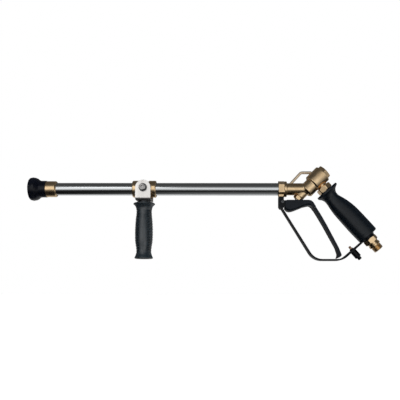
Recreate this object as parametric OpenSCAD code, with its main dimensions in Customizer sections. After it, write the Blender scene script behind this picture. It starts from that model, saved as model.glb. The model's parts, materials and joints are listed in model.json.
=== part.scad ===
// High-pressure spray gun: a two-handled lance with a squeeze valve.
// The lance runs along X with the nozzle at -X, and +Z is up.
// The origin is the middle of the bottom of the bounding box.

/* [Lance] */
// Height of the lance axis above the lowest point
lance_z = 146.3; // [145:0.1:148]
// Position of the nozzle protector's front rim
nozzle_x = -360.2; // [-362:0.1:-358]
// Outer diameter of both lance tubes
tube_d = 25.4; // [25:0.1:25.6]
// Bore of the front tube
tube_bore = 21; // [19:0.5:22]
// Position of the coupling's middle, where the front grip hangs
coupling_x = -126.4; // [-130:0.1:-122]
// Outer diameter of the coupling's round collars
coupling_d = 34.4; // [34:0.1:36]

/* [Front grip] */
// Width of the bracket's ears along the lance
ear_w = 31; // [28:0.5:32]
// Thickness of the bracket's steel
ear_t = 3; // [2.5:0.1:3.2]
// Half of the clear width between the ears
ear_gap = 19.5; // [19.5:0.1:21]
// Diameter of the bracket's side screws
side_screw_d = 8; // [6:0.5:8]
// Diameter of the bolt through the front grip
grip_bolt_d = 10; // [8:0.5:10]

/* [Valve body] */
// Where the valve axis crosses the lance axis
body_x = 206.5; // [205:0.1:208]
// Tilt of the valve axis from vertical
valve_tilt = 45; // [44:0.5:46]
// Diameter of the valve cylinder
valve_d = 36.5; // [36:0.1:38]
// Diameter of the horizontal barrel
barrel_d = 24.8; // [24:0.1:25.4]
// Size across flats of the front collar
collar_af = 29; // [28.6:0.1:29.4]

/* [Rear handle] */
// Angle of the handle axis below horizontal
handle_drop = 48.6; // [48:0.1:49]
// Outer diameter of the pipe inside the handle
pipe_d = 16; // [15:0.5:16]
// Major diameter of the inlet's pipe thread
inlet_d = 20.96; // [20:0.01:21.5]

/* [Trigger] */
// Position of the trigger's hinge along the lance
hinge_x = 155.5; // [155.4:0.1:156]
// Height of the trigger's hinge
hinge_z = 118.8; // [118.5:0.1:119]
// Diameter of the hinge pin
hinge_pin_d = 5; // [4:0.1:5]
// Width of the trigger's channel
trigger_w = 28; // [27.4:0.1:29]
// Diameter of the valve stem
stem_d = 5; // [4:0.1:5]
// Width of the guard's strip
guard_w = 22; // [16:0.5:22]
// Thickness of the guard's strip
guard_t = 2.5; // [2.2:0.1:2.8]
// Diameter of the latch pin
latch_pin_d = 5; // [4:0.1:5]

/* [Hidden] */
$fn = 48;
run_gap = 0.05;                  // radial play of a running fit
tube_r = tube_d / 2;
coupling_r = coupling_d / 2;
barrel_r = barrel_d / 2;
valve_r = valve_d / 2;
pipe_r = pipe_d / 2;
handle_s = 27.75;                // handle axis along the valve axis
guard_h = 156.75;                // guard strip's centre along the handle
latch_n = 41.5;                  // latch axis in front of the handle axis
eye_r = 4.4;
clevis_y = 11.2;                 // half of the clear width of the clevis
brass = [0.66, 0.54, 0.34];
steel = [0.72, 0.74, 0.76];
rubber = [0.07, 0.08, 0.10];
black = [0.13, 0.15, 0.17];

// ---- frames and shapes that repeat ----

// Local +Z runs along the lance towards the rear, from x
module on_lance(x) translate([x, 0, lance_z]) rotate([0, 90, 0]) children();

// Local +Z runs up the valve axis, from s
module on_valve(s) {
    translate([body_x, 0, lance_z]) rotate([0, valve_tilt, 0]) translate([0, 0, s]) children();
}

// Local +Z runs down the handle axis from h, and local +X points to the front
module on_handle(h, n = 0) {
    on_valve(handle_s) rotate([0, 90 + handle_drop - valve_tilt, 0]) translate([n, 0, h]) children();
}

// Local +Z runs along +Y from y, at a place in the gun's middle plane
module across(x, z, y) translate([x, y, z]) rotate([-90, 0, 0]) children();

// Hexagonal prism by its size across flats, with a corner on local +X
module hex(af, length) cylinder(h = length, d = af / cos(30), $fn = 6);

module ring(outer_r, inner_r, length) {
    difference() {
        cylinder(h = length, r = outer_r);
        translate([0, 0, -1]) cylinder(h = length + 2, r = inner_r);
    }
}

// Plate with a side outline [x, z], spread evenly about the middle plane
module side_plate(points, width) {
    translate([0, width / 2, 0]) rotate([90, 0, 0]) linear_extrude(width) polygon(points);
}

// Round-wire compression spring along local +Z
module coil(radius, wire_r, length, turns) {
    sides = 8;
    steps = 14 * turns;
    rise = length - 2 * wire_r;
    function centre(i) = [radius * cos(360 * turns * i / steps),
        radius * sin(360 * turns * i / steps), wire_r + rise * i / steps];
    function outward(i) = [cos(360 * turns * i / steps), sin(360 * turns * i / steps), 0];
    points = [for (i = [0:steps]) for (k = [0:sides - 1])
        centre(i) + wire_r * (cos(360 * k / sides) * outward(i) + sin(360 * k / sides) * [0, 0, 1])];
    walls = [for (i = [0:steps - 1]) for (k = [0:sides - 1])
        let (a = i * sides + k, b = i * sides + (k + 1) % sides)
        each [[a, b, b + sides], [a, b + sides, a + sides]]];
    first = [for (k = [sides - 1:-1:0]) k];
    last = [for (k = [0:sides - 1]) steps * sides + k];
    polyhedron(points, concat([first, last], walls), convexity = 8);
}

// ---- nozzle ----

module nozzle_protector() color(rubber) on_lance(nozzle_x) rotate_extrude($fn = 72)
    polygon([[19.6, 0], [21.4, 0.3], [22.8, 1.8], [23.4, 4.5], [23.5, 9], [22.9, 12.6],
        [21.2, 16], [18.6, 19.2], [17.3, 21.2], [17, 23.5], [17, 34],
        [14.2, 34], [14.2, 15], [10.4, 15], [10.4, 12.6], [13.2, 10.6], [17, 6.2], [18.7, 2]]);

module nozzle_holder() color(brass) on_lance(nozzle_x + 15) difference() {
    union() {
        cylinder(h = 19, r = 14.2);
        translate([0, 0, 19]) cylinder(h = 18.8, r = 16.2);
        translate([0, 0, 37.8]) cylinder(h = 2, r1 = 16.2, r2 = 14.4);
    }
    translate([0, 0, -1]) cylinder(h = 30, r = 9);
    translate([0, 0, 23]) cylinder(h = 20, r = tube_r);
}

module nozzle_tip() color(brass) on_lance(nozzle_x + 12) difference() {
    union() {
        hex(16, 3);
        translate([0, 0, 3]) cylinder(h = 4, r = 9);
    }
    translate([0, 0, -0.01]) cylinder(h = 5, r1 = 5, r2 = 1.6);
    translate([0, 0, 4]) cylinder(h = 4, r = 1.6);
}

module orifice_disc() color([0.85, 0.85, 0.82]) on_lance(nozzle_x + 19) ring(9, 1.1, 3);

module swirl_core() color(brass) on_lance(nozzle_x + 26) difference() {
    cylinder(h = 6, r = 8.6);
    for (a = [0:90:270]) rotate(a) translate([7.6, 0, -1]) rotate([25, 0, 0]) cube([4, 2, 20], center = true);
    translate([0, 0, 3]) cylinder(h = 4, r = 3);
}

module lance_rod() color(steel) on_lance(nozzle_x + 29) cylinder(h = 478, r = 3);

// Spoked disc that keeps the rod in the middle of a tube
module rod_guide(x, outer_r) on_lance(x) difference() {
    cylinder(h = 5, r = outer_r);
    translate([0, 0, -1]) cylinder(h = 7, r = 3 + run_gap);
    for (a = [0:120:240]) rotate(a) translate([6.8, 0, -1]) cylinder(h = 7, r = 2.4);
}

module front_rod_guide() color(brass) rod_guide(-290, tube_bore / 2);
module rear_rod_guide() color(brass) rod_guide(128, tube_bore / 2);

// ---- lance ----

module front_tube() color(steel) on_lance(nozzle_x + 38) ring(tube_r, tube_bore / 2, 180.3);

module coupling() color(brass) difference() {
    union() {
        on_lance(coupling_x - 23.3) {
            cylinder(h = 1.2, r1 = coupling_r - 1.2, r2 = coupling_r);
            translate([0, 0, 1.2]) cylinder(h = 12, r = coupling_r);
            translate([0, 0, 13.2]) cylinder(h = 1.2, r1 = coupling_r, r2 = coupling_r - 1.2);
            cylinder(h = 37, r = 15.6);
        }
        across(coupling_x, lance_z, -ear_gap) cylinder(h = 2 * ear_gap, r = 9.5);
    }
    on_lance(coupling_x - 25) cylinder(h = 9.5, r = tube_r);
    on_lance(coupling_x - 25) cylinder(h = 40, r = tube_bore / 2);
    on_lance(coupling_x + 2) cylinder(h = 20, r = tube_r + run_gap);
    on_lance(coupling_x + 3.5) cylinder(h = 2.4, r = 14.6);
    on_lance(coupling_x + 8) cylinder(h = 10, r = 14.2);
    across(coupling_x, lance_z, -ear_gap - 1) cylinder(h = 6.6, d = side_screw_d);
    across(coupling_x, lance_z, ear_gap - 5.6) cylinder(h = 6.6, d = side_screw_d);
}

module coupling_nut() color(brass) on_lance(coupling_x + 9.6) difference() {
    union() {
        cylinder(h = 1.2, r1 = coupling_r - 1.2, r2 = coupling_r);
        translate([0, 0, 1.2]) cylinder(h = 12.4, r = coupling_r);
        translate([0, 0, 13.6]) cylinder(h = 1.2, r1 = coupling_r, r2 = coupling_r - 1.2);
    }
    translate([0, 0, -1]) cylinder(h = 5.1, r = 15.6);
    translate([0, 0, 3]) cylinder(h = 14, r = tube_r + run_gap);
}

module swivel_seal() color(rubber) on_lance(coupling_x + 4.7)
    rotate_extrude() translate([13.85, 0]) circle(r = 0.75);

module rear_tube() color(steel) on_lance(coupling_x + 2.4) difference() {
    union() {
        cylinder(h = 147.8 - coupling_x - 2.4, r = tube_r);
        cylinder(h = 169 - coupling_x - 2.4, r = 11.8);
        translate([0, 0, 6.2]) cylinder(h = 4.4, r = 13.8);
    }
    translate([0, 0, -1]) cylinder(h = 320, r = tube_bore / 2);
}

// ---- front grip ----

// Bent strip's cross-section, grown outwards by t from the clear inside
module u_block(t, top) {
    corner_z = bracket_web_z + 2;
    translate([-30, -ear_gap - t, corner_z]) cube([60, 2 * (ear_gap + t), top - corner_z]);
    translate([-30, -ear_gap + 2, bracket_web_z - t]) cube([60, 2 * (ear_gap - 2), t + 3]);
    for (side = [-1, 1]) translate([-30, side * (ear_gap - 2), corner_z])
        rotate([0, 90, 0]) cylinder(h = 60, r = t + 2);
}
bracket_web_z = lance_z - 21.5;

module grip_bracket() color([0.86, 0.85, 0.82]) translate([coupling_x, 0, 0]) difference() {
    intersection() {
        u_block(ear_t, lance_z + 20);
        union() {
            across(0, lance_z, -30) cylinder(h = 60, r = ear_w / 2, $fn = 72);
            translate([-ear_w / 2, -30, 100]) cube([ear_w, 60, lance_z - 100]);
        }
    }
    u_block(0, lance_z + 30);
    across(0, lance_z, -30) cylinder(h = 60, d = side_screw_d + 0.4);
    translate([0, 0, 110]) cylinder(h = 20, d = grip_bolt_d + 0.4);
}

washer_t = 1.6;
module side_washer(side) mirror([0, side < 0 ? 0 : 1, 0])
    across(coupling_x, lance_z, -ear_gap - ear_t - washer_t) ring(8.2, side_screw_d / 2 + 0.2, washer_t);
module side_screw(side) mirror([0, side < 0 ? 0 : 1, 0])
    across(coupling_x, lance_z, -ear_gap - ear_t - washer_t - 7.5) difference() {
        union() {
            cylinder(h = 0.8, r1 = 5.7, r2 = 6.5);
            translate([0, 0, 0.8]) cylinder(h = 6.7, r = 6.5);
            cylinder(h = 17.5, d = side_screw_d);
        }
        translate([0, 0, -1]) rotate(30) hex(6, 5);
    }
module side_washer_near() color([0.25, 0.27, 0.28]) side_washer(-1);
module side_washer_far() color([0.25, 0.27, 0.28]) side_washer(1);
module side_screw_near() color(steel) side_screw(-1);
module side_screw_far() color(steel) side_screw(1);

grip_top_z = 118.1;
module grip_spacer() color(black) translate([coupling_x, 0, grip_top_z])
    ring(12.4, grip_bolt_d / 2 + 0.2, bracket_web_z - ear_t - grip_top_z);

module grip_bolt() color(steel) translate([coupling_x, 0, 0]) {
    translate([0, 0, bracket_web_z]) cylinder(h = 4, r = 8.5);
    translate([0, 0, 6]) cylinder(h = bracket_web_z - 5, d = grip_bolt_d);
}

module front_grip() color(rubber) translate([coupling_x, 0, 0]) difference() {
    rotate_extrude($fn = 72) polygon([[0, 3.4], [16.6, 3.4], [18.3, 4.2], [18.7, 5.6], [17.6, 8],
        [16, 11.9], [15.4, 16], [15.3, 21], [16, 27], [16.9, 32.4], [17.7, 38], [18.1, 44],
        [18.25, 52], [18.25, 63], [17.8, 73], [17.1, 83.6], [15.9, 94], [15.6, 102],
        [16.1, 106.5], [17.4, 110], [19.6, 113], [21.7, 114.6], [22, 115.6], [21.4, 116.8],
        [19.5, 117.8], [17, 118.1], [0, 118.1]]);
    translate([0, 0, 1]) cylinder(h = 120, d = grip_bolt_d + 0.4);
    translate([0, 0, 1]) cylinder(h = 13, r = 10.5);
}

module grip_nut() color(steel) translate([coupling_x, 0, 7]) difference() {
    hex(17, 7);
    translate([0, 0, -1]) cylinder(h = 9, d = grip_bolt_d);
}

// ---- valve body ----

nipple_h = 19.1;                 // where the nipple's hexagon begins, just off the valve cylinder
module gun_body() color(brass) difference() {
    union() {
        on_lance(147.8) hex(collar_af, 12);
        translate([148.3, -9, collar_bottom_z]) cube([10, 18, 12]);
        on_lance(159.4) cylinder(h = 5.4, r = 16);
        difference() {
            on_lance(164) cylinder(h = body_x - 164, r = barrel_r);
            on_valve(-42) cylinder(h = 20, r = 11);
        }
        translate([body_x, 0, lance_z]) sphere(r = barrel_r - 0.2);
        on_valve(-6) translate([1.2, 0, 0]) {
            cylinder(h = 2.6, r1 = 12.6, r2 = 15.2);
            translate([0, 0, 2.6]) cylinder(h = 21.4, r = 15.2);
        }
        on_valve(15.2) cylinder(h = 1.6, r1 = valve_r - 1.6, r2 = valve_r);
        on_valve(16.8) cylinder(h = 28.6, r = valve_r);
        on_valve(45.4) cylinder(h = 0.6, r1 = valve_r, r2 = valve_r - 0.6);
        on_valve(-22) cylinder(h = 20, r = 9.4);
        on_handle(0) cylinder(h = nipple_h, r = 10.5);
    }
    on_lance(146) cylinder(h = 23, r = 11.8);
    on_lance(160) cylinder(h = body_x - 160, r = 6);
    on_valve(20) cylinder(h = 30, r = 12);
    on_valve(16.5) cylinder(h = 5, r = 11);
    on_valve(-10) cylinder(h = 28, r = 5.5);
    on_valve(-23) cylinder(h = 14, r = 6.5);
    on_handle(8) cylinder(h = 20, r = 8);
}

module hanging_bow() color([0.6, 0.5, 0.33]) difference() {
    side_plate([[170.6, 157], [192.2, 182.6], [216, 182.6], [216, 177.8], [194.6, 177.8],
        [178.4, 157]], 6);
    on_lance(160) cylinder(h = 60, r = barrel_r);
    on_valve(10) cylinder(h = 50, r = valve_r);
}

module valve_plug() color(brass) difference() {
    union() {
        on_valve(39) cylinder(h = 8, r = 12);
        on_valve(46) rotate(30) intersection() {
            hex(28, 6.6);
            cylinder(h = 6.6, r1 = 21.4, r2 = 14.8);
        }
    }
    on_valve(38) cylinder(h = 12, r = 3 + run_gap);
}

module plug_seal() color(rubber) on_valve(38) ring(12, 9.6, 1);
module valve_seat() color(steel) on_valve(16.5) ring(11, 4.5, 3.5);

module valve_poppet() color(steel) {
    on_valve(20.1) cylinder(h = 4, r = 8);
    on_valve(20.1) cylinder(h = 8, r = 5);
    on_valve(20.1) cylinder(h = 22.5, r = 3);
}

module valve_spring() color(steel) on_valve(24.2) coil(6.6, 0.9, 14.7, 5);

stem_tip_s = -50;
module valve_stem() color(steel) {
    on_valve(stem_tip_s + 4) sphere(r = 4);
    on_valve(stem_tip_s + 4) cylinder(h = 4, r = 4);
    on_valve(stem_tip_s + 4) cylinder(h = 20.1 - stem_tip_s - 4, d = stem_d);
}

module stem_packing() color([0.9, 0.9, 0.86]) on_valve(-15.5) ring(6.5, stem_d / 2 + 0.3, 6);

module gland_nut() color(brass) difference() {
    union() {
        on_valve(-23) cylinder(h = 7.5, r = 6.5);
        on_valve(-30) intersection() {
            hex(17, 8);
            cylinder(h = 8, r1 = 7.4, r2 = 15.4);
        }
    }
    on_valve(-34) cylinder(h = 20, d = stem_d + 2 * run_gap);
}

// ---- trigger ----

collar_bottom_z = lance_z - 16.8;
module hinge_bracket() color(black) difference() {
    side_plate([[148.7, 109.8], [148.7, collar_bottom_z], [158.2, collar_bottom_z], [158.2, 121.6],
        [160.1, 119.2], [160.1, 109.6], [157, 106], [151.4, 106]], 2 * clevis_y + 5);
    translate([150.7, -clevis_y, 100]) cube([20, 2 * clevis_y, collar_bottom_z - 102.5]);
    across(hinge_x, hinge_z, -20) cylinder(h = 40, d = hinge_pin_d);
    translate([154.4, 0, 120]) cylinder(h = 20, r = 1.8);
    on_rivet(-5) cylinder(h = 10, r = 1.6);
}

module bracket_screw() color(steel) translate([154.4, 0, collar_bottom_z]) {
    translate([0, 0, -4.4]) cylinder(h = 1.9, r = 3.2);
    translate([0, 0, -3]) cylinder(h = 3, r = 1.8);
}

module hinge_pin() color(steel) across(hinge_x, hinge_z, -clevis_y - 4) {
    cylinder(h = 1.5, r = 3.4);
    cylinder(h = 2 * clevis_y + 8, d = hinge_pin_d);
}
module hinge_clip() color(steel) across(hinge_x, hinge_z, clevis_y + 2.5)
    ring(4.2, hinge_pin_d / 2, 1);

// Squeeze lever: an open-topped channel with one long flat arm
module trigger_lever() color(black) difference() {
    union() {
        side_plate([[160.8, 106], [160.8, 119], [164.2, 122.7], [209, 122.7], [214.6, 121.2],
            [218.4, 117.2], [223.4, 109], [219.4, 103.6], [216.6, 108.2], [213.2, 111],
            [208.6, 111.9], [198, 109.6], [183.3, 103.6], [176, 100.9], [170.4, 99.8],
            [165.2, 101.2]], trigger_w);
        side_plate([[209, 120], [214.6, 120], [218.4, 117.2], [223.4, 109], [234.2, 91.5],
            [245.1, 72], [257.5, 48], [268.9, 26], [274.6, 11.6], [273.8, 8.6], [270.4, 6.4],
            [265.2, 3.8], [267.2, 9.6], [267.4, 13], [263.2, 26], [251.2, 48], [238.2, 72],
            [226.8, 91.5], [216.6, 108.2], [213.2, 111], [208.6, 111.9]], trigger_w - 6);
        across(hinge_x, hinge_z, -clevis_y + 0.4) cylinder(h = 2 * clevis_y - 0.8, r = eye_r);
        translate([hinge_x, -clevis_y + 0.4, hinge_z - 4]) cube([8, 2 * clevis_y - 0.8, 7.6]);
    }
    across(hinge_x, hinge_z, -20) cylinder(h = 40, d = hinge_pin_d + 2 * run_gap);
    side_plate([[164.2, 130], [164.2, pad_sum - 164.2], [176.4, pad_sum - 176.4], [184.6, 106.6],
        [198, 111.8], [208.6, 114.7], [214.2, 114], [221.5, 105.6], [230, 118], [226, 130]],
        trigger_w - 4);
}
// The pad that pushes the stem is square to the valve axis: x + z is constant on it
pad_sum = body_x + lance_z + (stem_tip_s - 0.3) * sqrt(2);

// Centre line of the guard: bracket, slope, bottom, rise along the handle's end plane to its axis
guard_turn_r = 30;
slope_a = 58.4;
rise_a = 90 - handle_drop;
guard_flat_x = 236;
guard_mid_z = guard_t / 2;
turn_mid_z = guard_mid_z + guard_turn_r;
handle_x = body_x + handle_s * sin(valve_tilt);
handle_z = lance_z + handle_s * cos(valve_tilt);
// The last turn's middle lies one turn radius above the guard's upper straight
guard_rise_x = handle_x
    + (guard_h - guard_turn_r + (turn_mid_z - handle_z) * sin(handle_drop)) / cos(handle_drop);
// The guard's end has a round tab, a little thicker than its strip
tab_t = guard_t + 0.4;
function guard_line() = concat(
    [[151.95, 114], [151.95, 110.5]],
    [for (a = [slope_a:-slope_a / 8:-0.01]) [guard_flat_x - guard_turn_r * sin(a),
        guard_mid_z + guard_turn_r * (1 - cos(a))]],
    [for (a = [0:rise_a / 6:rise_a + 0.01]) [guard_rise_x + guard_turn_r * sin(a),
        guard_mid_z + guard_turn_r * (1 - cos(a))]],
    [[handle_x + guard_h * cos(handle_drop), handle_z - guard_h * sin(handle_drop)]]);
function unit(v) = v / norm(v);
// Offset of a line's point i to its left, mitred
function beside(line, i, d) = let (
    a = unit(line[max(i, 1)] - line[max(i, 1) - 1]),
    b = unit(line[min(i + 1, len(line) - 1)] - line[min(i + 1, len(line) - 1) - 1]),
    m = unit([-a[1] - b[1], a[0] + b[0]]))
    line[i] + m * d / (m * [-a[1], a[0]]);

module trigger_guard() color(black) difference() {
    line = guard_line();
    last = len(line) - 1;
    union() {
        side_plate(concat([for (i = [0:last]) beside(line, i, guard_t / 2)],
            [for (i = [last:-1:0]) beside(line, i, -guard_t / 2)]), guard_w);
        on_handle(guard_h - tab_t / 2) cylinder(h = tab_t, r = 14.6);
    }
    on_handle(guard_h - 5) cylinder(h = 10, r = pipe_r + 0.1);
    on_handle(guard_h - 5, latch_n) cylinder(h = 10, r = 4.6);
    on_rivet(-5) cylinder(h = 10, r = 1.6);
}

module on_rivet(x) translate([150.7 + x, 0, 112]) rotate([0, 90, 0]) children();
module guard_rivet() color(black) {
    on_rivet(-3) cylinder(h = 1, r = 2.2);
    on_rivet(-3) cylinder(h = 6, r = 1.6);
}

// ---- latch ----

housing_h = guard_h + guard_t / 2;
module latch_housing() color(black) difference() {
    union() {
        on_handle(housing_h - 5.5, latch_n) cylinder(h = 6, r = 4.6);
        on_handle(housing_h, latch_n) cylinder(h = 15.8, r = 6.5);
        on_handle(housing_h + 15.8, latch_n) cylinder(h = 1, r1 = 6.5, r2 = 5.5);
    }
    on_handle(housing_h - 7, latch_n) cylinder(h = 20, d = latch_pin_d + 2 * run_gap);
    on_handle(housing_h - 1, latch_n) cylinder(h = 20, r = 4 + run_gap);
}

module latch_pin() color([0.7, 0.5, 0.38]) difference() {
    on_handle(146.4, latch_n) cylinder(h = 26, d = latch_pin_d);
    on_handle(146, latch_n) ring(6, latch_pin_d / 2 - 0.5, 0.9);
}
module latch_spring() color(steel) on_handle(housing_h - 0.7, latch_n) coil(3.2, 0.4, 9.5, 5);
module latch_button() color(black) difference() {
    union() {
        on_handle(housing_h + 9.4, latch_n) cylinder(h = 12.3, r = 4);
        on_handle(housing_h + 21.7, latch_n) cylinder(h = 0.8, r1 = 4, r2 = 3.2);
    }
    on_handle(housing_h + 8, latch_n) cylinder(h = 172.4 - housing_h - 8, d = latch_pin_d);
}

// ---- rear handle ----

module handle_nipple() color(brass) difference() {
    union() {
        on_handle(12) cylinder(h = 8, r = 8);
        on_handle(nipple_h) rotate(22) hex(28, 30 - nipple_h);
    }
    on_handle(10) cylinder(h = 14, r = 5.5);
    on_handle(22) cylinder(h = 10, r = pipe_r);
}

module feed_pipe() color(steel) on_handle(22) ring(pipe_r, 5.5, 143);

// Grip stations: distance down the handle, reach to the front, to the rear, and half width
grip_stations = [[30, 22.4, 24, 19.4], [31.2, 23.2, 25.2, 20.2], [34, 23.2, 25.2, 20.2],
    [36.4, 21.4, 20.6, 18], [39, 19.4, 16.8, 16.2], [43, 17.5, 13.8, 15], [47, 16.6, 12.3, 14.4],
    [51, 16.8, 12, 14.2], [56, 17.4, 13.2, 14.4], [62, 18.3, 15.4, 15], [70, 19.3, 18, 15.8],
    [80, 20, 20.3, 16.5], [92, 20.2, 22.2, 17], [108, 20.3, 23.2, 17.2], [124, 20.3, 23.6, 17.2],
    [140, 19.8, 23.8, 17], [152.4, 19.3, 23.9, 16.8], [154.6, 18.8, 23.3, 16.3],
    [155.3, 17.6, 22.2, 15.2]];
// Rounded section: a superellipse whose front and rear reach differ
function grip_ring(st) = [for (k = [0:39]) let (c = cos(9 * k), s = sin(9 * k))
    [sign(c) * pow(abs(c), 0.82) * (c > 0 ? st[1] : st[2]), sign(s) * pow(abs(s), 0.82) * st[3], st[0]]];

module rear_grip() color(rubber) difference() {
    on_handle(0) polyhedron(
        [for (st = grip_stations) each grip_ring(st)],
        concat([[for (k = [39:-1:0]) k], [for (k = [0:39]) 40 * (len(grip_stations) - 1) + k]],
            [for (i = [0:len(grip_stations) - 2]) for (k = [0:39])
                let (a = 40 * i + k, b = 40 * i + (k + 1) % 40) each [[a, b, b + 40], [a, b + 40, a + 40]]]),
        convexity = 4);
    on_handle(20) cylinder(h = 150, r = pipe_r + 0.1);
}

module end_washer() color(black) on_handle(guard_h + tab_t / 2) ring(13.6, pipe_r + 0.1, 2);

module inlet_fitting() color(brass) difference() {
    union() {
        on_handle(160.2) hex(26, 10.6);
        on_handle(170) cylinder(h = 6, r = 11);
        on_handle(175.4) cylinder(h = 4, r = 12.1);
        on_handle(179) cylinder(h = 11.7, d = inlet_d);
    }
    on_handle(159) cylinder(h = 6, r = pipe_r);
    on_handle(159) cylinder(h = 40, r = 5.5);
}

nozzle_protector();
nozzle_holder();
nozzle_tip();
orifice_disc();
swirl_core();
lance_rod();
front_rod_guide();
rear_rod_guide();
front_tube();
coupling();
coupling_nut();
swivel_seal();
grip_bracket();
side_washer_near();
side_washer_far();
side_screw_near();
side_screw_far();
grip_spacer();
grip_bolt();
front_grip();
grip_nut();
rear_tube();
gun_body();
hanging_bow();
valve_plug();
plug_seal();
valve_spring();
valve_poppet();
valve_seat();
valve_stem();
stem_packing();
gland_nut();
hinge_bracket();
bracket_screw();
hinge_pin();
hinge_clip();
trigger_lever();
trigger_guard();
guard_rivet();
latch_housing();
latch_pin();
latch_spring();
latch_button();
handle_nipple();
feed_pipe();
rear_grip();
end_washer();
inlet_fitting();
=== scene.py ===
"""Looks of the high-pressure spray gun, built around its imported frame.

Blender's units are metres. Sizes in this file are millimetres unless a name ends in _m, and
MM turns them into metres. Every piece stands on an axis that is worked out from the frame.
"""

import json
import math

import bmesh
import bpy
from mathutils import Matrix, Vector, geometry


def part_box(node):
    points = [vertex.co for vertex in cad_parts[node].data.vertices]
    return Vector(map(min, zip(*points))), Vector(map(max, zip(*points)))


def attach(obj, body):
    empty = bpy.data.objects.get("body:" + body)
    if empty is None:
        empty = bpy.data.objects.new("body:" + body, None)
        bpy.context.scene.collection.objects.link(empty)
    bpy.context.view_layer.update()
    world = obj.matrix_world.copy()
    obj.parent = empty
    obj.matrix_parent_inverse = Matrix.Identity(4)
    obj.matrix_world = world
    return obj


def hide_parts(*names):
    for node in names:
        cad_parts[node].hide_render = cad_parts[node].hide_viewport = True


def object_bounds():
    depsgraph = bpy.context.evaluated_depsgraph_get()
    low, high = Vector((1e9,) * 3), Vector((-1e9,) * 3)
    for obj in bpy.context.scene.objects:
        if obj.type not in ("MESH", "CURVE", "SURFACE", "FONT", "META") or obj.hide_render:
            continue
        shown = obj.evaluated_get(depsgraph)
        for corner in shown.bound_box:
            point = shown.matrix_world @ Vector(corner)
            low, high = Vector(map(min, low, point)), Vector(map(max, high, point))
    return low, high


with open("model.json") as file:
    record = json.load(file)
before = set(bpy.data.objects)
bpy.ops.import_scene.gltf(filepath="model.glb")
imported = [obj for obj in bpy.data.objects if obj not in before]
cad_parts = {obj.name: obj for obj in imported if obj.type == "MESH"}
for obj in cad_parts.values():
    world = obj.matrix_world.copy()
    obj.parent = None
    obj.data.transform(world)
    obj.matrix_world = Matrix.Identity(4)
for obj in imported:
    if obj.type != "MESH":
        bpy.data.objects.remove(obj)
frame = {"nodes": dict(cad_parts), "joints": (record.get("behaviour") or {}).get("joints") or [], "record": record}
cad_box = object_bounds()

MM = 0.001
TURNS = 96
record = frame["record"]
nodes = frame["nodes"]
joint = {row["name"]: row for row in frame["joints"]}
body_of = {name: body for body, names in record["behaviour"]["bodies"].items() for name in names}
slot_of = {row["node"]: row["material_slot"] for row in record["subparts"]}


# ---- axes ----

class Axis:
    """A straight axis in the gun's middle plane: h runs along it and n to its front, in millimetres."""

    def __init__(self, origin, along, front=None):
        self.origin = Vector(origin)
        self.along = Vector(along).normalized()
        self.front = Vector(front or (self.along.z, 0, -self.along.x)).normalized()
        self.side = self.along.cross(self.front)

    def matrix(self, h=0.0, n=0.0, turn=0.0):
        """Places a shape made along local +Z, with local +X to the front."""
        place = Matrix((self.front, self.side, self.along)).transposed().to_4x4()
        place.translation = self.origin + (self.along * h + self.front * n) * MM
        return place @ Matrix.Rotation(math.radians(turn), 4, "Z")

    def local(self, point):
        """(n, y, h) of a point of the frame, in millimetres."""
        away = (Vector(point) - self.origin) / MM
        return Vector((away.dot(self.front), away.dot(self.side), away.dot(self.along)))

    def heights(self, node):
        """h of every vertex of a CAD node."""
        return [self.local(v.co).z for v in nodes[node].data.vertices]

    def span(self, node):
        """Lowest and highest h of a CAD node."""
        heights = self.heights(node)
        return min(heights), max(heights)


def middle(node):
    low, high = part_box(node)
    return (low + high) / 2


lance_z_m = joint["jet_turn"]["pos_m"][2]
LANCE = Axis((0, 0, lance_z_m), (1, 0, 0))
seat = middle("valve_seat")
VALVE = Axis((seat.x - (seat.z - lance_z_m), 0, lance_z_m), joint["valve_lift"]["axis"])
handle_along = -Vector(joint["latch_push"]["axis"])
washer = middle("end_washer")
crossing = geometry.intersect_line_line(
    VALVE.origin, VALVE.origin + VALVE.along, washer, washer + handle_along)[0]
HANDLE = Axis((crossing.x, 0, crossing.z), handle_along)
grip_middle = middle("front_grip")
GRIP = Axis((grip_middle.x, 0, 0), (0, 0, 1))
pin_n = [HANDLE.local(v.co).x for v in nodes["latch_pin"].data.vertices]
LATCH = Axis(HANDLE.origin + HANDLE.front * (min(pin_n) + max(pin_n)) / 2 * MM, HANDLE.along)
HINGE = Axis(joint["trigger_pull"]["pos_m"], (0, 1, 0), (1, 0, 0))
RIVET = Axis((0, 0, middle("guard_rivet").z), (1, 0, 0))
SCREW = Axis((middle("bracket_screw").x, 0, 0), (0, 0, 1))


def cross_axis(side):
    """Across the coupling, towards the middle plane from one side (-1 or 1)."""
    return Axis((grip_middle.x, 0, lance_z_m), (0, -side, 0), (1, 0, 0))


# ---- mesh helpers ----

def step(value, low, high):
    """Rises smoothly from 0 at low to 1 at high."""
    t = min(max((value - low) / (high - low), 0), 1)
    return t * t * (3 - 2 * t)


def curve(points):
    """Smooth y(x) through points [x, y] with rising x, without overshoot."""
    xs, ys = zip(*points)
    rises = [(y2 - y1) / (x2 - x1) for x1, x2, y1, y2 in zip(xs, xs[1:], ys, ys[1:])]
    slopes = [rises[0]]
    slopes += [2 * a * b / (a + b) if a * b > 0 else 0 for a, b in zip(rises, rises[1:])]
    slopes.append(rises[-1])

    def at(x):
        x = min(max(x, xs[0]), xs[-1])
        i = max(k for k in range(len(xs) - 1) if xs[k] <= x)
        width = xs[i + 1] - xs[i]
        t = (x - xs[i]) / width
        return ((2 * t ** 3 - 3 * t ** 2 + 1) * ys[i] + (t ** 3 - 2 * t ** 2 + t) * width * slopes[i]
                + (3 * t ** 2 - 2 * t ** 3) * ys[i + 1] + (t ** 3 - t ** 2) * width * slopes[i + 1])
    return at


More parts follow.
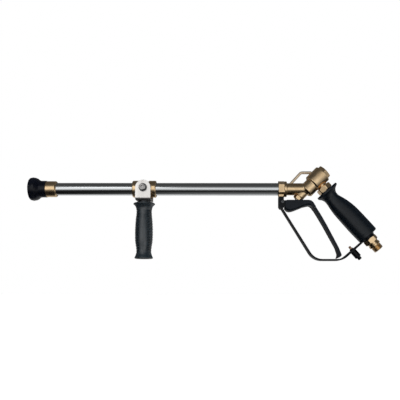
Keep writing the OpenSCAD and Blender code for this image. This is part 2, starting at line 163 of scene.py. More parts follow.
def rounded(points, closed=True, steps=4):
    """Outline whose corners [a, b, radius] become arcs."""
    outline = []
    count = len(points)
    for i, point in enumerate(points):
        here = Vector(point[:2])
        radius = point[2] if len(point) > 2 else 0
        if radius == 0 or (not closed and i in (0, count - 1)):
            outline.append(here)
            continue
        back = Vector(points[i - 1][:2]) - here
        ahead = Vector(points[(i + 1) % count][:2]) - here
        half = back.angle(ahead) / 2
        reach = min(radius / math.tan(half), back.length * 0.48, ahead.length * 0.48)
        first = here + back.normalized() * reach
        last = here + ahead.normalized() * reach
        centre = here + (back.normalized() + ahead.normalized()).normalized() * (reach / math.cos(half))
        sweep_angle = math.pi - 2 * half
        for k in range(steps + 1):
            t = k / steps
            a = math.sin((1 - t) * sweep_angle) / math.sin(sweep_angle)
            b = math.sin(t * sweep_angle) / math.sin(sweep_angle)
            outline.append(centre + (first - centre) * a + (last - centre) * b)
    return outline


def turned(bm, profile, place, closed=True, turns=TURNS):
    """Adds a body of revolution. A profile row is (along, radius), where radius may depend on the angle."""
    rings = []
    for along, radius in profile:
        if not callable(radius) and radius < 1e-4:
            rings.append([bm.verts.new(place @ Vector((0, 0, along * MM)))])
            continue
        ring = []
        for k in range(turns):
            angle = 2 * math.pi * k / turns
            r = radius(angle) if callable(radius) else radius
            point = Vector((r * math.cos(angle), r * math.sin(angle), along)) * MM
            ring.append(bm.verts.new(place @ point))
        rings.append(ring)
    joined(bm, rings, closed and len(rings[0]) > 1)


def joined(bm, rings, closed=False):
    """Faces between rings of vertices that follow each other. A ring of one vertex is a point."""
    turns = max(len(ring) for ring in rings)
    pairs = list(zip(rings, rings[1:]))
    if closed:
        pairs.append((rings[-1], rings[0]))
    for one, two in pairs:
        for k in range(turns):
            corners = [one[k % len(one)], one[(k + 1) % len(one)], two[(k + 1) % len(two)], two[k % len(two)]]
            unique = list(dict.fromkeys(corners))
            if len(unique) > 2:
                bm.faces.new(unique)


def finished(bm, name, sharp=32.0, weighted=True):
    """Makes the object: smooth faces, with the edges sharper than an angle kept sharp."""
    bmesh.ops.recalc_face_normals(bm, faces=bm.faces)
    for face in bm.faces:
        face.smooth = True
    for edge in bm.edges:
        if len(edge.link_faces) == 2 and edge.calc_face_angle() > math.radians(sharp):
            edge.smooth = False
    mesh = bpy.data.meshes.new(name)
    bm.to_mesh(mesh)
    bm.free()
    piece = bpy.data.objects.new(name, mesh)
    bpy.context.scene.collection.objects.link(piece)
    if weighted:
        modifier = piece.modifiers.new("flat faces", "WEIGHTED_NORMAL")
        modifier.keep_sharp = True
    return piece


def stand_in(piece, *replaced):
    """Gives a piece the body, slot and material of the CAD nodes that it stands for."""
    node = replaced[0]
    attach(piece, body_of[node])
    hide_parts(*replaced)
    piece.data.materials.append(materials[slot_of[node]])
    return piece


def hexagon(across_flats, corner_cut=0.25):
    """Radius of a hexagon by angle, with a corner on local +X and its corners broken a little."""
    corner = across_flats / 2 / math.cos(math.pi / 6) - corner_cut

    def radius(limit):
        def at(angle):
            off = (angle + math.pi / 6) % (math.pi / 3) - math.pi / 6
            flat = across_flats / 2 / math.cos(math.pi / 6 - abs(off))
            return min(flat, corner, limit)
        return at
    return radius


def hex_rows(across_flats, start, end, chamfer=1.2, both=True):
    """Profile rows of a hexagonal stretch whose ends are chamfered by a 30 degree cone."""
    shape = hexagon(across_flats)
    corner = across_flats / 2 / math.cos(math.pi / 6)
    slope = math.tan(math.radians(60))
    low = across_flats / 2 - 0.35
    rows = []
    steps = 6
    for k in range(steps + 1):
        limit = low + (corner - low) * k / steps
        rows.append((start + (limit - low) / slope * chamfer, shape(limit)))
    if both:
        for k in range(steps, -1, -1):
            limit = low + (corner - low) * k / steps
            rows.append((end - (limit - low) / slope * chamfer, shape(limit)))
    else:
        rows.append((end, shape(corner)))
    return rows


# ---- shapes taken from the frame ----

def cad_profile(node, axis):
    """Closed profile (h, r) of a turned CAD node, read from the walls of its mesh."""
    mesh = nodes[node].data
    found = []

    def snapped(h, r):
        for point in found:
            if abs(point[0] - h) < 0.04 and abs(point[1] - r) < 0.04:
                return point
        found.append((h, r))
        return found[-1]

    polar = []
    for vertex in mesh.vertices:
        n, y, h = axis.local(vertex.co)
        polar.append((*snapped(h, math.hypot(n, y)), math.atan2(y, n)))
    links = {}
    for edge in mesh.edges:
        (h1, r1, a1), (h2, r2, a2) = (polar[i] for i in edge.vertices)
        turn = abs((a1 - a2 + math.pi) % (2 * math.pi) - math.pi)
        on_axis = min(r1, r2) < 0.05
        if abs(h1 - h2) < 0.02 or (turn > 0.004 and not on_axis):
            continue
        links.setdefault((h1, r1), set()).add((h2, r2))
        links.setdefault((h2, r2), set()).add((h1, r1))
    loose = {}
    for point, others in links.items():
        if len(others) == 1 and point[1] > 0.05:
            loose.setdefault(round(point[0], 1), []).append(point)
    for h, points in loose.items():
        points.sort(key=lambda p: p[1])
        if len(points) % 2:
            points.insert(0, (h, 0.0))
        for one, two in zip(points[::2], points[1::2]):
            links.setdefault(one, set()).add(two)
            links.setdefault(two, set()).add(one)
    ends = [p for p in links if p[1] < 0.05]
    start = min(ends) if ends else min(links)
    chain = [start]
    while True:
        steps = [p for p in links[chain[-1]] if p not in chain]
        if not steps:
            break
        chain.append(max(steps, key=lambda p: p[1]) if len(chain) == 1 else steps[0])
    return chain


def straightened(profile, closed):
    """The profile without the points that lie on a straight line."""
    count = len(profile)
    kept = []
    for i, here in enumerate(profile):
        if not closed and i in (0, count - 1):
            kept.append(here)
            continue
        back = Vector(here) - Vector(profile[i - 1])
        ahead = Vector(profile[(i + 1) % count]) - Vector(here)
        if back.length > 0 and ahead.length > 0 and back.angle(ahead) > 0.01:
            kept.append(here)
    return kept


def turned_node(node, axis, edge=0.3, extra=()):
    """Fine turned piece in place of a turned CAD node, with its edges broken."""
    chain = cad_profile(node, axis)
    closed = min(r for _, r in chain) > 0.05
    chain = straightened(chain, closed)
    profile = rounded([(h, r, edge) for h, r in chain], closed, 3)
    bm = bmesh.new()
    turned(bm, profile, axis.matrix(), closed)
    for more in extra:
        more(bm)
    return stand_in(finished(bm, node + "_turned"), node)


def welded_copy(node):
    """A CAD node's mesh as one clean bmesh, its flat faces joined."""
    bm = bmesh.new()
    bm.from_mesh(nodes[node].data)
    bmesh.ops.remove_doubles(bm, verts=bm.verts, dist=0.00001)
    bmesh.ops.dissolve_limit(bm, angle_limit=math.radians(0.6), verts=bm.verts, edges=bm.edges)
    return bm


def bevelled_node(node, width, grown=None, segments=2, over=28.0):
    """Copy of a CAD node with its edges rounded, grown first where grown(point) says by how much."""
    bm = welded_copy(node)
    bm.normal_update()
    moves = [(v, v.normal * grown(v.co) * MM) for v in bm.verts] if grown else []
    for vertex, move in moves:
        vertex.co += move
    edges = [e for e in bm.edges if len(e.link_faces) == 2
             and e.calc_face_angle() > math.radians(over)]
    bmesh.ops.bevel(bm, geom=edges, offset=width * MM, segments=segments, profile=0.5,
                    affect="EDGES", clamp_overlap=True)
    return stand_in(finished(bm, node + "_rounded"), node)


def cast_node(node, voxel, passes, shaped=None):
    """Copy of a CAD node with the soft edges of a casting, by voxels and smoothing, then shaped(mesh)."""
    bm = bmesh.new()
    bm.from_mesh(nodes[node].data)
    bmesh.ops.remove_doubles(bm, verts=bm.verts, dist=0.00001)
    rough = finished(bm, node + "_rough", weighted=False)
    remesh = rough.modifiers.new("voxels", "REMESH")
    remesh.mode = "VOXEL"
    remesh.voxel_size = voxel * MM
    remesh.use_smooth_shade = True
    smooth = rough.modifiers.new("soft edges", "SMOOTH")
    smooth.factor = 0.5
    smooth.iterations = passes
    mesh = bpy.data.meshes.new_from_object(rough.evaluated_get(bpy.context.evaluated_depsgraph_get()))
    bpy.data.objects.remove(rough)
    mesh.name = node + "_cast"
    if shaped:
        shaped(mesh)
    mesh.materials.clear()
    piece = bpy.data.objects.new(node + "_cast", mesh)
    bpy.context.scene.collection.objects.link(piece)
    return stand_in(piece, node)


# ---- shader nodes ----

def colour_ramp(tree, source, stops):
    """Colours by a value: each stop is (value, (r, g, b))."""
    node = tree.nodes.new("ShaderNodeValToRGB")
    elements = node.color_ramp.elements
    while len(elements) < len(stops):
        elements.new(0.5)
    for element, (position, colour) in zip(elements, stops):
        element.position = position
        element.color = (*colour, 1)
    tree.links.new(source, node.inputs["Fac"])
    return node.outputs["Color"]


def map_range(tree, source, start, end, low, high, smooth=False):
    """Maps a value from start..end to low..high."""
    node = tree.nodes.new("ShaderNodeMapRange")
    if smooth:
        node.interpolation_type = "SMOOTHSTEP"
    for socket, value in (("From Min", start), ("From Max", end), ("To Min", low), ("To Max", high)):
        node.inputs[socket].default_value = value
    tree.links.new(source, node.inputs["Value"])
    return node.outputs["Result"]


def mixed(tree, factor, one, two):
    """Blends two colours, each of them an (r, g, b) or a socket."""
    node = tree.nodes.new("ShaderNodeMix")
    node.data_type = "RGBA"
    tree.links.new(factor, node.inputs["Factor"])
    sockets = [s for s in node.inputs if s.type == "RGBA"]
    for socket, colour in zip(sockets, (one, two)):
        if isinstance(colour, tuple):
            socket.default_value = (*colour, 1)
        else:
            tree.links.new(colour, socket)
    return next(s for s in node.outputs if s.type == "RGBA")


def dot_product(tree, one, two):
    """Dot product of a socket and of a socket or a fixed direction."""
    node = tree.nodes.new("ShaderNodeVectorMath")
    node.operation = "DOT_PRODUCT"
    tree.links.new(one, node.inputs[0])
    if isinstance(two, tuple):
        node.inputs[1].default_value = two
    else:
        tree.links.new(two, node.inputs[1])
    return node.outputs["Value"]


# ---- materials ----

class Finish:
    """A procedural material: a shader whose colour, roughness and relief come from noise."""

    def __init__(self, slot, metallic=0.0, **constants):
        self.slot = slot
        self.material = bpy.data.materials.new(slot)
        self.material.use_nodes = True
        self.tree = self.material.node_tree
        self.shader = self.tree.nodes["Principled BSDF"]
        self.shader.inputs["Metallic"].default_value = metallic
        for socket, value in constants.items():
            self.shader.inputs[socket.replace("_", " ")].default_value = value
        self.place = self.tree.nodes.new("ShaderNodeTexCoord").outputs["Object"]

    def link(self, source, target):
        self.tree.links.new(source, target)

    def mapped(self, stretch):
        node = self.tree.nodes.new("ShaderNodeMapping")
        node.inputs["Scale"].default_value = stretch
        self.link(self.place, node.inputs["Vector"])
        return node.outputs["Vector"]

    def grain(self, scale, detail=4.0, rough=0.55, stretch=(1, 1, 1)):
        """Noise from 0 to 1. Scale is in features per metre."""
        node = self.tree.nodes.new("ShaderNodeTexNoise")
        node.inputs["Scale"].default_value = scale
        node.inputs["Detail"].default_value = detail
        node.inputs["Roughness"].default_value = rough
        self.link(self.mapped(stretch), node.inputs["Vector"])
        return node.outputs["Fac"]

    def cells(self, scale):
        node = self.tree.nodes.new("ShaderNodeTexVoronoi")
        node.inputs["Scale"].default_value = scale
        self.link(self.place, node.inputs["Vector"])
        return node.outputs["Distance"]

    def ranged(self, source, low, high, start=0.3, end=0.7):
        return map_range(self.tree, source, start, end, low, high)

    def colour(self, source):
        self.link(source, self.shader.inputs["Base Color"])
        return self

    def roughness(self, source, low, high):
        self.link(self.ranged(source, low, high), self.shader.inputs["Roughness"])
        return self

    def relief(self, *layers):
        """Bumps, finest last: each layer is (source, height in millimetres)."""
        normal = None
        for source, height in layers:
            node = self.tree.nodes.new("ShaderNodeBump")
            node.inputs["Distance"].default_value = height * MM
            node.inputs["Strength"].default_value = 1.0
            self.link(source, node.inputs["Height"])
            if normal is not None:
                self.link(normal, node.inputs["Normal"])
            normal = node.outputs["Normal"]
        self.link(normal, self.shader.inputs["Normal"])
        return self

    def edge_wear(self, radius=0.7):
        """1 on sharp edges and 0 on flat stretches."""
        bevel = self.tree.nodes.new("ShaderNodeBevel")
        bevel.samples = 4
        bevel.inputs["Radius"].default_value = radius * MM
        flat = self.tree.nodes.new("ShaderNodeNewGeometry")
        alike = dot_product(self.tree, bevel.outputs["Normal"], flat.outputs["Normal"])
        return self.ranged(alike, 1, 0, 0.75, 0.97)


def brass(slot, light, dark, rough, cast, stretch=(1, 1, 1)):
    made = Finish(slot, metallic=1.0)
    patina = made.grain(45, 7, 0.62)
    made.colour(colour_ramp(made.tree, patina, [(0.30, dark), (0.62, light)]))
    made.roughness(made.grain(130, 5), rough, rough + 0.14)
    if cast:
        made.relief((made.grain(110, 2), 0.04), (made.grain(900, 2, 0.5), 0.003))
    else:
        made.relief((made.grain(600, 2, 0.5, stretch), 0.003))
    return made


def steel(slot, light, dark, low, high, stretch, height):
    made = Finish(slot, metallic=1.0)
    made.colour(colour_ramp(made.tree, made.grain(60, 6, 0.6, stretch), [(0.32, dark), (0.6, light)]))
    made.roughness(made.grain(90, 5, 0.6, stretch), low, high)
    made.relief((made.grain(800, 3, 0.6, stretch), height))
    return made


def rubber(slot, light, dark, low, high, height, specular=0.5):
    made = Finish(slot, Specular_IOR_Level=specular)
    made.colour(colour_ramp(made.tree, made.grain(70, 6, 0.6), [(0.3, dark), (0.68, light)]))
    made.roughness(made.grain(240, 5), low, high)
    made.relief((made.grain(300, 3), height * 2), (made.cells(2200), height))
    return made


def paint(slot, light, dark, low, high, specular=0.5):
    made = Finish(slot, Specular_IOR_Level=specular)
    base = colour_ramp(made.tree, made.grain(80, 6, 0.6), [(0.3, dark), (0.65, light)])
    worn = tuple(3 * c + 0.004 for c in light)
    made.colour(mixed(made.tree, made.edge_wear(), base, worn))
    made.roughness(made.grain(260, 5), low, high)
    made.relief((made.grain(420, 3), 0.010), (made.grain(1500, 3), 0.003))
    return made


UNIFORM = (1, 1, 1)
ALONG = (0.04, 1, 1)
UPRIGHT = (1, 1, 0.08)
finishes = [
    rubber("bell_rubber", (0.002, 0.003, 0.007), (0.001, 0.0015, 0.004), 0.22, 0.34, 0.002, 0.24),
    rubber("seal_rubber", (0.012, 0.012, 0.013), (0.006, 0.006, 0.007), 0.45, 0.6, 0.008),
    brass("machined_brass", (0.86, 0.64, 0.39), (0.72, 0.52, 0.30), 0.20, False, ALONG),
    brass("cast_brass", (0.84, 0.63, 0.385), (0.68, 0.49, 0.28), 0.25, True),
    brass("bow_brass", (0.70, 0.57, 0.42), (0.50, 0.39, 0.27), 0.30, True),
    rubber("ceramic", (0.82, 0.81, 0.77), (0.70, 0.68, 0.62), 0.25, 0.4, 0.004),
    steel("tube_chrome", (0.68, 0.70, 0.71), (0.60, 0.62, 0.63), 0.14, 0.20, ALONG, 0.0015),
    steel("inner_steel", (0.55, 0.56, 0.57), (0.42, 0.42, 0.42), 0.22, 0.35, UNIFORM, 0.005),
    steel("bracket_steel", (0.98, 0.955, 0.925), (0.88, 0.855, 0.825), 0.36, 0.50, UPRIGHT, 0.006),
    steel("dark_steel", (0.10, 0.105, 0.11), (0.05, 0.055, 0.06), 0.32, 0.45, UNIFORM, 0.008),
    steel("screw_steel", (0.40, 0.39, 0.38), (0.24, 0.235, 0.23), 0.18, 0.30, UNIFORM, 0.005),
    steel("spring_steel", (0.46, 0.46, 0.47), (0.32, 0.31, 0.30), 0.25, 0.38, UNIFORM, 0.005),
    rubber("packing", (0.80, 0.79, 0.74), (0.66, 0.64, 0.57), 0.4, 0.55, 0.006),
    rubber("front_grip_rubber", (0.007, 0.016, 0.023), (0.004, 0.010, 0.015), 0.30, 0.40, 0.002, 0.95),
    rubber("rear_grip_rubber", (0.002, 0.005, 0.009), (0.001, 0.003, 0.006), 0.30, 0.40, 0.002, 0.34),
    paint("black_paint", (0.002, 0.003, 0.005), (0.001, 0.0015, 0.0025), 0.30, 0.42, 0.16),
    paint("lever_black", (0.002, 0.005, 0.010), (0.001, 0.003, 0.006), 0.30, 0.42, 0.22),
    steel("latch_copper", (0.72, 0.48, 0.34), (0.50, 0.31, 0.20), 0.25, 0.38, UNIFORM, 0.005),
]
materials = {made.slot: made.material for made in finishes}
for name, obj in nodes.items():
    obj.data.materials.clear()
    obj.data.materials.append(materials[slot_of[name]])


# ---- nozzle and tubes ----

def lathe(node, axis, profile, closed=True, turns=TURNS, turn=0.0, sharp=32.0):
    """Fine turned piece with its own profile, in place of a CAD node."""
    bm = bmesh.new()
    turned(bm, profile, axis.matrix(turn=turn), closed, turns)
    return stand_in(finished(bm, node + "_fine", sharp), node)


def bead(along, radius, size):
    """Profile rows of a round bead."""
    return [(along + size * math.sin(a), radius + size * math.cos(a))
            for a in (2 * math.pi * k / 16 for k in range(16))]


bell_start, _ = LANCE.span("nozzle_protector")
turned_node("nozzle_protector", LANCE, 0.9, [
    lambda bm: turned(bm, bead(bell_start + 6.6, 22.95, 1.0), LANCE.matrix())])
turned_node("nozzle_holder", LANCE, 0.4)
turned_node("orifice_disc", LANCE, 0.2)
turned_node("front_tube", LANCE, 0.3)
turned_node("rear_tube", LANCE, 0.3)

tip_start, tip_end = LANCE.span("nozzle_tip")
lathe("nozzle_tip", LANCE, hex_rows(16, tip_start, tip_start + 3, both=False) + [
    (tip_start + 3, 9), (tip_end, 9), (tip_end, 1.6), (tip_start + 5, 1.6), (tip_start, 4.9)])


# ---- coupling, bracket and front grip ----

coupling_h, _ = LANCE.span("coupling")


def make_coupling():
    bm = bmesh.new()
    rows = [(0, 12.75), (0, 16.0, 0.3), (1.2, 17.2, 0.5), (13.2, 17.2, 0.5), (14.4, 16.0, 0.3), (14.4, 15.6),
            (36.8, 15.6, 0.3), (36.8, 14.25), (31.4, 14.25), (31.4, 12.8), (25.3, 12.8), (25.3, 10.6),
            (7.8, 10.6), (7.8, 12.75)]
    turned(bm, rounded([(coupling_h + row[0], *row[1:]) for row in rows], True, 3), LANCE.matrix())
    for side in (-1, 1):
        turned(bm, [(-19.4, 4.1), (-19.4, 8.9), (-18.8, 9.5), (-12.4, 9.5), (-12.4, 4.1)],
               cross_axis(side).matrix())
    stand_in(finished(bm, "coupling_fine"), "coupling")


def make_side_screw(node, side):
    """Cap screw: knurled head with a hexagonal socket."""
    axis = cross_axis(side)
    start, _ = axis.span(node)
    knurls, knurl_depth, socket_edge = 72, 0.22, 0.35
    socket = hexagon(6)(9)

    def knurl(angle):
        return 6.5 - knurl_depth / 2 * (1 + math.cos(knurls * angle))

    def shoulder(angle):
        return socket(angle) + socket_edge

    lathe(node, axis, [(start + 4, 0), (start + 4, socket), (start + socket_edge, socket), (start, shoulder),
                       (start, 5.5), (start + 0.3, 6.1), (start + 0.9, knurl), (start + 6.8, knurl),
                       (start + 7.1, 6.2), (start + 7.5, 6.1), (start + 7.5, 3.95), (start + 17.5, 3.95),
                       (start + 17.5, 0)], False, 288, 30)


make_coupling()
turned_node("coupling_nut", LANCE, 0.5)
for end, side in (("near", -1), ("far", 1)):
    turned_node("side_washer_" + end, cross_axis(side), 0.3)
    make_side_screw("side_screw_" + end, side)
bevelled_node("grip_bracket", 0.45)
turned_node("grip_spacer", GRIP, 0.6)

bolt_low, bolt_high = GRIP.span("grip_bolt")
lathe("grip_bolt", GRIP, [(bolt_low, 0), (bolt_low, 4.4), (bolt_low + 0.6, 5), (bolt_high - 4, 5)]
      + hex_rows(14.6, bolt_high - 4, bolt_high) + [(bolt_high, 0)], False)
nut_low, nut_high = GRIP.span("grip_nut")
lathe("grip_nut", GRIP, hex_rows(17, nut_low, nut_high) + [(nut_high, 5), (nut_low, 5)])


def make_front_grip():
    """Moulded grip with fine ribs, except on a smooth panel on each side."""
    radii = {}
    for vertex in nodes["front_grip"].data.vertices:
        x, y, h = GRIP.local(vertex.co)
        radii[round(h, 1)] = max(math.hypot(x, y), radii.get(round(h, 1), 0))
    outer = sorted((h, r) for h, r in radii.items() if r > 14)
    wall = curve(outer)
    low, high = outer[0][0], outer[-1][0]
    rib_low, rib_high, pitch = low + 10.6, high - 15, 3.3

    def groove(h):
        depth = 1.0 * (0.5 - 0.5 * math.cos(2 * math.pi * (h - rib_low) / pitch)) ** 2.2

        def radius(angle):
            off = math.degrees(abs((angle % math.pi) - math.pi / 2))
            return wall(h) - depth * step(off, 27, 29.5)
        return radius

    plain = [low + 0.05 * k * k for k in range(15)]
    rows = [(low, 10.6), (low, wall(low))] + [(h, wall(h)) for h in plain[1:]]
    count = round((rib_high - rib_low) / pitch)
    rows += [(rib_low + k * pitch / 8, groove(rib_low + k * pitch / 8)) for k in range(8 * count + 1)]
    top = rows[-1][0]
    rows += [(h, wall(h)) for h in (top + (high - top) * (1 - (1 - k / 24) ** 1.6) for k in range(1, 25))]
    rows += [(high, 5.2), (nut_high, 5.2), (nut_high, 10.6)]
    lathe("front_grip", GRIP, rows, True, 180, 0, 50)


make_front_grip()


# ---- valve body ----

cast_node("gun_body", 0.5, 7)


def make_bow():
    """Round-edged bar from the barrel up to the valve cylinder."""
    low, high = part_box("hanging_bow")
    top = high.z / MM - 2.1
    corners = [(low.x / MM + 1.6, low.z / MM - 1), (low.x / MM + 22.8, top, 7), (high.x / MM, top)]
    path = rounded(corners, False, 10)
    bm = bmesh.new()
    last = len(path) - 1
    rings = []
    for i, here in enumerate(path):
        along = (path[min(i + 1, last)] - path[max(i - 1, 0)]).normalized()
        ring = []
        for k in range(32):
            c, t = math.cos(2 * math.pi * k / 32), math.sin(2 * math.pi * k / 32)
            wide = 3 * math.copysign(abs(c) ** 0.6, c)
            out = 2.8 * math.copysign(abs(t) ** 0.6, t)
            ring.append(bm.verts.new(Vector((here.x - along.y * out, wide, here.y + along.x * out)) * MM))
        rings.append(ring)
    joined(bm, rings)
    bm.faces.new(rings[0])
    bm.faces.new(rings[-1])
    stand_in(finished(bm, "hanging_bow_round"), "hanging_bow")


make_bow()

_, plug_end = VALVE.span("valve_plug")
plug_hex = hexagon(28)
lathe("valve_plug", VALVE, [(plug_end - 2.6, 0), (plug_end - 2.6, 3.05), (plug_end - 13.6, 3.05),
                            (plug_end - 13.6, 12), (plug_end - 6.6, 12), (plug_end - 6.6, plug_hex(17))]
      + [(plug_end - 1.5 + k * 0.25, plug_hex(16.2 - k * 0.28)) for k in range(6)]
      + [(plug_end - 0.1, plug_hex(14.2)), (plug_end, 13.4), (plug_end, 6.2), (plug_end - 0.5, 5.6),
         (plug_end - 0.5, 0)], False, TURNS, 30)

nut_start, nut_end = VALVE.span("gland_nut")
lathe("gland_nut", VALVE, hex_rows(17, nut_start, nut_start + 8, 1.6) + [
    (nut_start + 8, 6.5), (nut_end, 6.5), (nut_end, 2.55), (nut_start, 2.55)])


# ---- trigger, guard and latch ----

bevelled_node("hinge_bracket", 0.5)


def rounded_below(mesh, radius=5.0):
    """Gives the lever's horizontal stretch broad round edges along its bottom."""
    reach = max(abs(v.co.y) for v in mesh.vertices) / MM
    last_x = middle("trigger_lever").x
    bottom = {}
    for vertex in mesh.vertices:
        key = round(vertex.co.x / MM / 1.5)
        bottom[key] = min(vertex.co.z / MM, bottom.get(key, 1000))
    for vertex in mesh.vertices:
        above = vertex.co.z / MM - bottom[round(vertex.co.x / MM / 1.5)]
        if vertex.co.x > last_x or above > radius:
            continue
        limit = (reach - radius + math.sqrt(radius ** 2 - (radius - max(above, 0)) ** 2)) * MM
        vertex.co.y = math.copysign(min(abs(vertex.co.y), limit), vertex.co.y)


cast_node("trigger_lever", 0.5, 8, rounded_below)
bevelled_node("trigger_guard", 0.6, lambda point: 0.5 if HANDLE.local(point).x > 17 and point.z < 0.1 else 0)
turned_node("bracket_screw", SCREW, 0.3)
turned_node("hinge_pin", HINGE, 0.5)
turned_node("hinge_clip", HINGE, 0.2)
turned_node("guard_rivet", RIVET, 0.4)
turned_node("latch_housing", LATCH, 0.4)
turned_node("latch_pin", LATCH, 0.4)
turned_node("latch_button", LATCH, 0.5)


# ---- rear handle ----

BOSS_REACH = 20
nipple_low, nipple_high = HANDLE.span("handle_nipple")
nipple_hex = max(h for h in HANDLE.heights("handle_nipple") if h < BOSS_REACH)
lathe("handle_nipple", HANDLE, [(nipple_low, 8), (nipple_hex, 8)]
      + hex_rows(28, nipple_hex, nipple_high) + [
          (nipple_high, 8), (nipple_high - 8, 8), (nipple_high - 8, 5.5), (nipple_low, 5.5)], turn=22)
turned_node("feed_pipe", HANDLE, 0.3)
turned_node("end_washer", HANDLE, 0.5)


def make_rear_grip():
    """Moulded grip: the CAD's sections, joined smoothly, with a raised panel on each side."""
    rings = {}
    for vertex in nodes["rear_grip"].data.vertices:
        n, y, h = HANDLE.local(vertex.co)
        if math.hypot(n, y) > 9:
            rings.setdefault(round(h, 1), []).append((n, y))
    heights = sorted(rings)
    front = curve([(h, max(n for n, _ in rings[h])) for h in heights])
    rear = curve([(h, -min(n for n, _ in rings[h])) for h in heights])
    half = curve([(h, max(y for _, y in rings[h])) for h in heights])
    low, high = heights[0], heights[-1]
    levels = [low + 0.3 * k for k in range(20)] + [low + 6 + k for k in range(int(high - low - 11))]
    levels += [high - 5 + 0.25 * k for k in range(21)]
    bm = bmesh.new()
    place = HANDLE.matrix()
    turns = 160

    def ring(h, bore=0.0):
        corners = []
        for k in range(turns):
            c, t = math.cos(2 * math.pi * k / turns), math.sin(2 * math.pi * k / turns)
            n = math.copysign(abs(c) ** 0.82, c) * (front(h) if c > 0 else rear(h))
            y = math.copysign(abs(t) ** 0.82, t) * half(h)
            panel = step(n, -15, -13.6) * step(-n, -16, -10) * step(h, 46, 50) * step(-h, -147, -145.6)
            y += math.copysign(0.5 * panel, y)
            if bore:
                n, y = bore * c, bore * t
            corners.append(bm.verts.new(place @ (Vector((n, y, h)) * MM)))
        return corners

    walls = [ring(h) for h in levels]
    joined(bm, [ring(low, 8.1)] + walls + [ring(high, 8.1)], True)
    stand_in(finished(bm, "rear_grip_moulded", 50), "rear_grip")


def make_inlet():
    """Hexagonal fitting with a real pipe thread."""
    low, high = HANDLE.span("inlet_fitting")
    thread_low, pitch, depth = low + 19.4, 1.814, 1.1

    def thread(h):
        fade = step(h, thread_low, thread_low + 0.8) * step(-h, -high, -high + 1.0)

        def radius(angle):
            turn = (h / pitch - angle / (2 * math.pi)) % 1
            return 10.48 - depth * (1 - fade) * 0.8 - depth * fade * abs(2 * turn - 1)
        return radius

    rows = hex_rows(26, low, low + 10.6) + [(low + 10.6, 11), (low + 15.2, 11), (low + 15.2, 11.6),
                                            (low + 15.7, 12.1), (low + 18.7, 12.1), (low + 19.2, 11.6)]
    count = int((high - thread_low) / pitch * 8)
    rows += [(thread_low + k * pitch / 8, thread(thread_low + k * pitch / 8)) for k in range(count + 1)]
    rows += [(high, 8.9), (high, 6.2), (high - 0.7, 5.5), (low + 4.8, 5.5), (low + 4.8, 8), (low, 8)]
    lathe("inlet_fitting", HANDLE, rows, True, 144)


make_rear_grip()
make_inlet()


# ---- stage, lights and camera ----

FLOOR_Z_M = -0.32
FLOOR_HALF_M = 30


def make_floor():
    mesh = bpy.data.meshes.new("floor")
    corners = [(-1, -1), (1, -1), (1, 1), (-1, 1)]
    points = [(x * FLOOR_HALF_M, y * FLOOR_HALF_M, FLOOR_Z_M) for x, y in corners]
    mesh.from_pydata(points, [], [(0, 1, 2, 3)])
    floor = bpy.data.objects.new("floor", mesh)
    bpy.context.scene.collection.objects.link(floor)
    made = Finish("floor_paint", Roughness=0.9, Specular_IOR_Level=0.0)
    made.colour(colour_ramp(made.tree, made.grain(3, 2), [(0.3, (0.93,) * 3), (0.7, (0.95,) * 3)]))
    mesh.materials.append(made.material)
    floor.visible_glossy = False


# Brightness by the sine of the elevation, in front of the gun and behind it.
FRONT_WALL = [(-1.0, 0.24), (-0.93, 0.02), (-0.60, 0.02), (-0.42, 0.12), (-0.20, 0.80),
              (0.16, 1.05), (0.34, 0.48), (0.60, 0.10), (1.0, 0.07)]
BACK_WALL = [(-1.0, 0.30), (-0.90, 0.60), (-0.45, 0.70), (-0.28, 0.45), (-0.12, 0.10), (0.40, 0.10),
             (0.80, 0.16), (1.0, 0.07)]
# Brighter or darker parts of the studio: towards, then the cosines where each starts and is full, and
# the factor outside and inside.
LOBES = [
    ((0.51, -0.69, -0.51), 0.72, 0.97, 1.0, 2.2),
    ((-0.45, -0.88, 0.10), 0.88, 0.99, 1.0, 1.35),
    ((0.80, -0.55, 0.25), 0.75, 0.95, 1.0, 0.2),
    ((-0.95, -0.2, 0.2), 0.70, 0.92, 1.0, 0.2),
    ((-0.75, 0.0, -0.66), 0.60, 0.88, 1.0, 0.03),
]


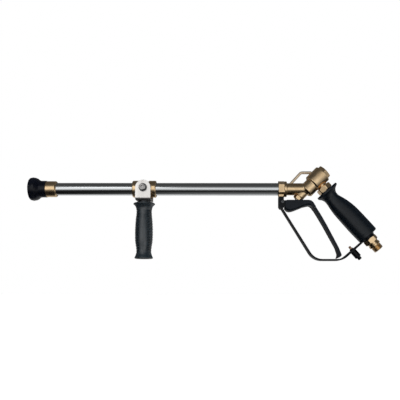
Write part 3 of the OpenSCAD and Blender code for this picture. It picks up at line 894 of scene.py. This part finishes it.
def make_world():
    """White to the camera. To the gun it is a studio: bright walls, dark ceiling and dark floor in front."""
    world = bpy.data.worlds.new("studio")
    bpy.context.scene.world = world
    world.use_nodes = True
    tree = world.node_tree
    tree.nodes.clear()
    add = tree.nodes.new
    link = tree.links.new

    def grey_ramp(source, stops):
        return colour_ramp(tree, source, [((height + 1) / 2, (value,) * 3) for height, value in stops])

    direction = add("ShaderNodeTexCoord").outputs["Generated"]
    split = add("ShaderNodeSeparateXYZ")
    link(direction, split.inputs["Vector"])
    height = add("ShaderNodeMath")
    height.operation = "MULTIPLY_ADD"
    height.inputs[1].default_value = 0.5
    height.inputs[2].default_value = 0.5
    link(split.outputs["Z"], height.inputs[0])
    front = grey_ramp(height.outputs["Value"], FRONT_WALL)
    back = grey_ramp(height.outputs["Value"], BACK_WALL)
    behind = map_range(tree, split.outputs["Y"], 0.2, 0.6, 0, 1, smooth=True)

    strength = None
    for towards, start, end, outside, inside in LOBES:
        nearness = dot_product(tree, direction, towards)
        lobe = map_range(tree, nearness, start, end, outside, inside, smooth=True)
        if strength is None:
            strength = lobe
            continue
        product = add("ShaderNodeMath")
        product.operation = "MULTIPLY"
        link(strength, product.inputs[0])
        link(lobe, product.inputs[1])
        strength = product.outputs["Value"]

    studio = add("ShaderNodeBackground")
    link(strength, studio.inputs["Strength"])
    link(mixed(tree, behind, front, back), studio.inputs["Color"])
    white = add("ShaderNodeBackground")
    white.inputs["Color"].default_value = (1, 1, 1, 1)
    switch = add("ShaderNodeMixShader")
    link(add("ShaderNodeLightPath").outputs["Is Camera Ray"], switch.inputs["Fac"])
    link(studio.outputs["Background"], switch.inputs[1])
    link(white.outputs["Background"], switch.inputs[2])
    link(switch.outputs["Shader"], add("ShaderNodeOutputWorld").inputs["Surface"])


def aimed(obj, target):
    obj.rotation_mode = "QUATERNION"
    obj.rotation_quaternion = (Vector(target) - obj.location).to_track_quat("-Z", "Y")


def softbox(name, place, target, size, power):
    light = bpy.data.lights.new(name, "AREA")
    light.shape = "RECTANGLE"
    light.size, light.size_y = size
    light.energy = power
    obj = bpy.data.objects.new(name, light)
    bpy.context.scene.collection.objects.link(obj)
    obj.location = place
    aimed(obj, target)
    return obj


def make_lights():
    centre = (cad_box[0] + cad_box[1]) / 2
    sun = bpy.data.lights.new("ceiling", "SUN")
    sun.energy = 3.6
    sun.angle = math.radians(100)
    ceiling = bpy.data.objects.new("ceiling", sun)
    bpy.context.scene.collection.objects.link(ceiling)
    ceiling.visible_glossy = False
    softbox("key", centre + Vector((-0.5, -1.4, 0.7)), centre, (0.5, 0.35), 0.8)


def make_camera():
    data = bpy.data.cameras.new("camera")
    data.sensor_width = 36
    data.lens = 50.72
    data.shift_x = -0.06
    data.shift_y = 0.14
    data.clip_start = 0.05
    camera = bpy.data.objects.new("camera", data)
    bpy.context.scene.collection.objects.link(camera)
    camera.location = (0.042, -1.145, -0.061)
    camera.rotation_euler = [math.radians(v) for v in (93.51, -0.08, 0.24)]
    bpy.context.scene.camera = camera


make_floor()
make_world()
make_lights()
make_camera()
bpy.context.scene.view_settings.view_transform = "Standard"
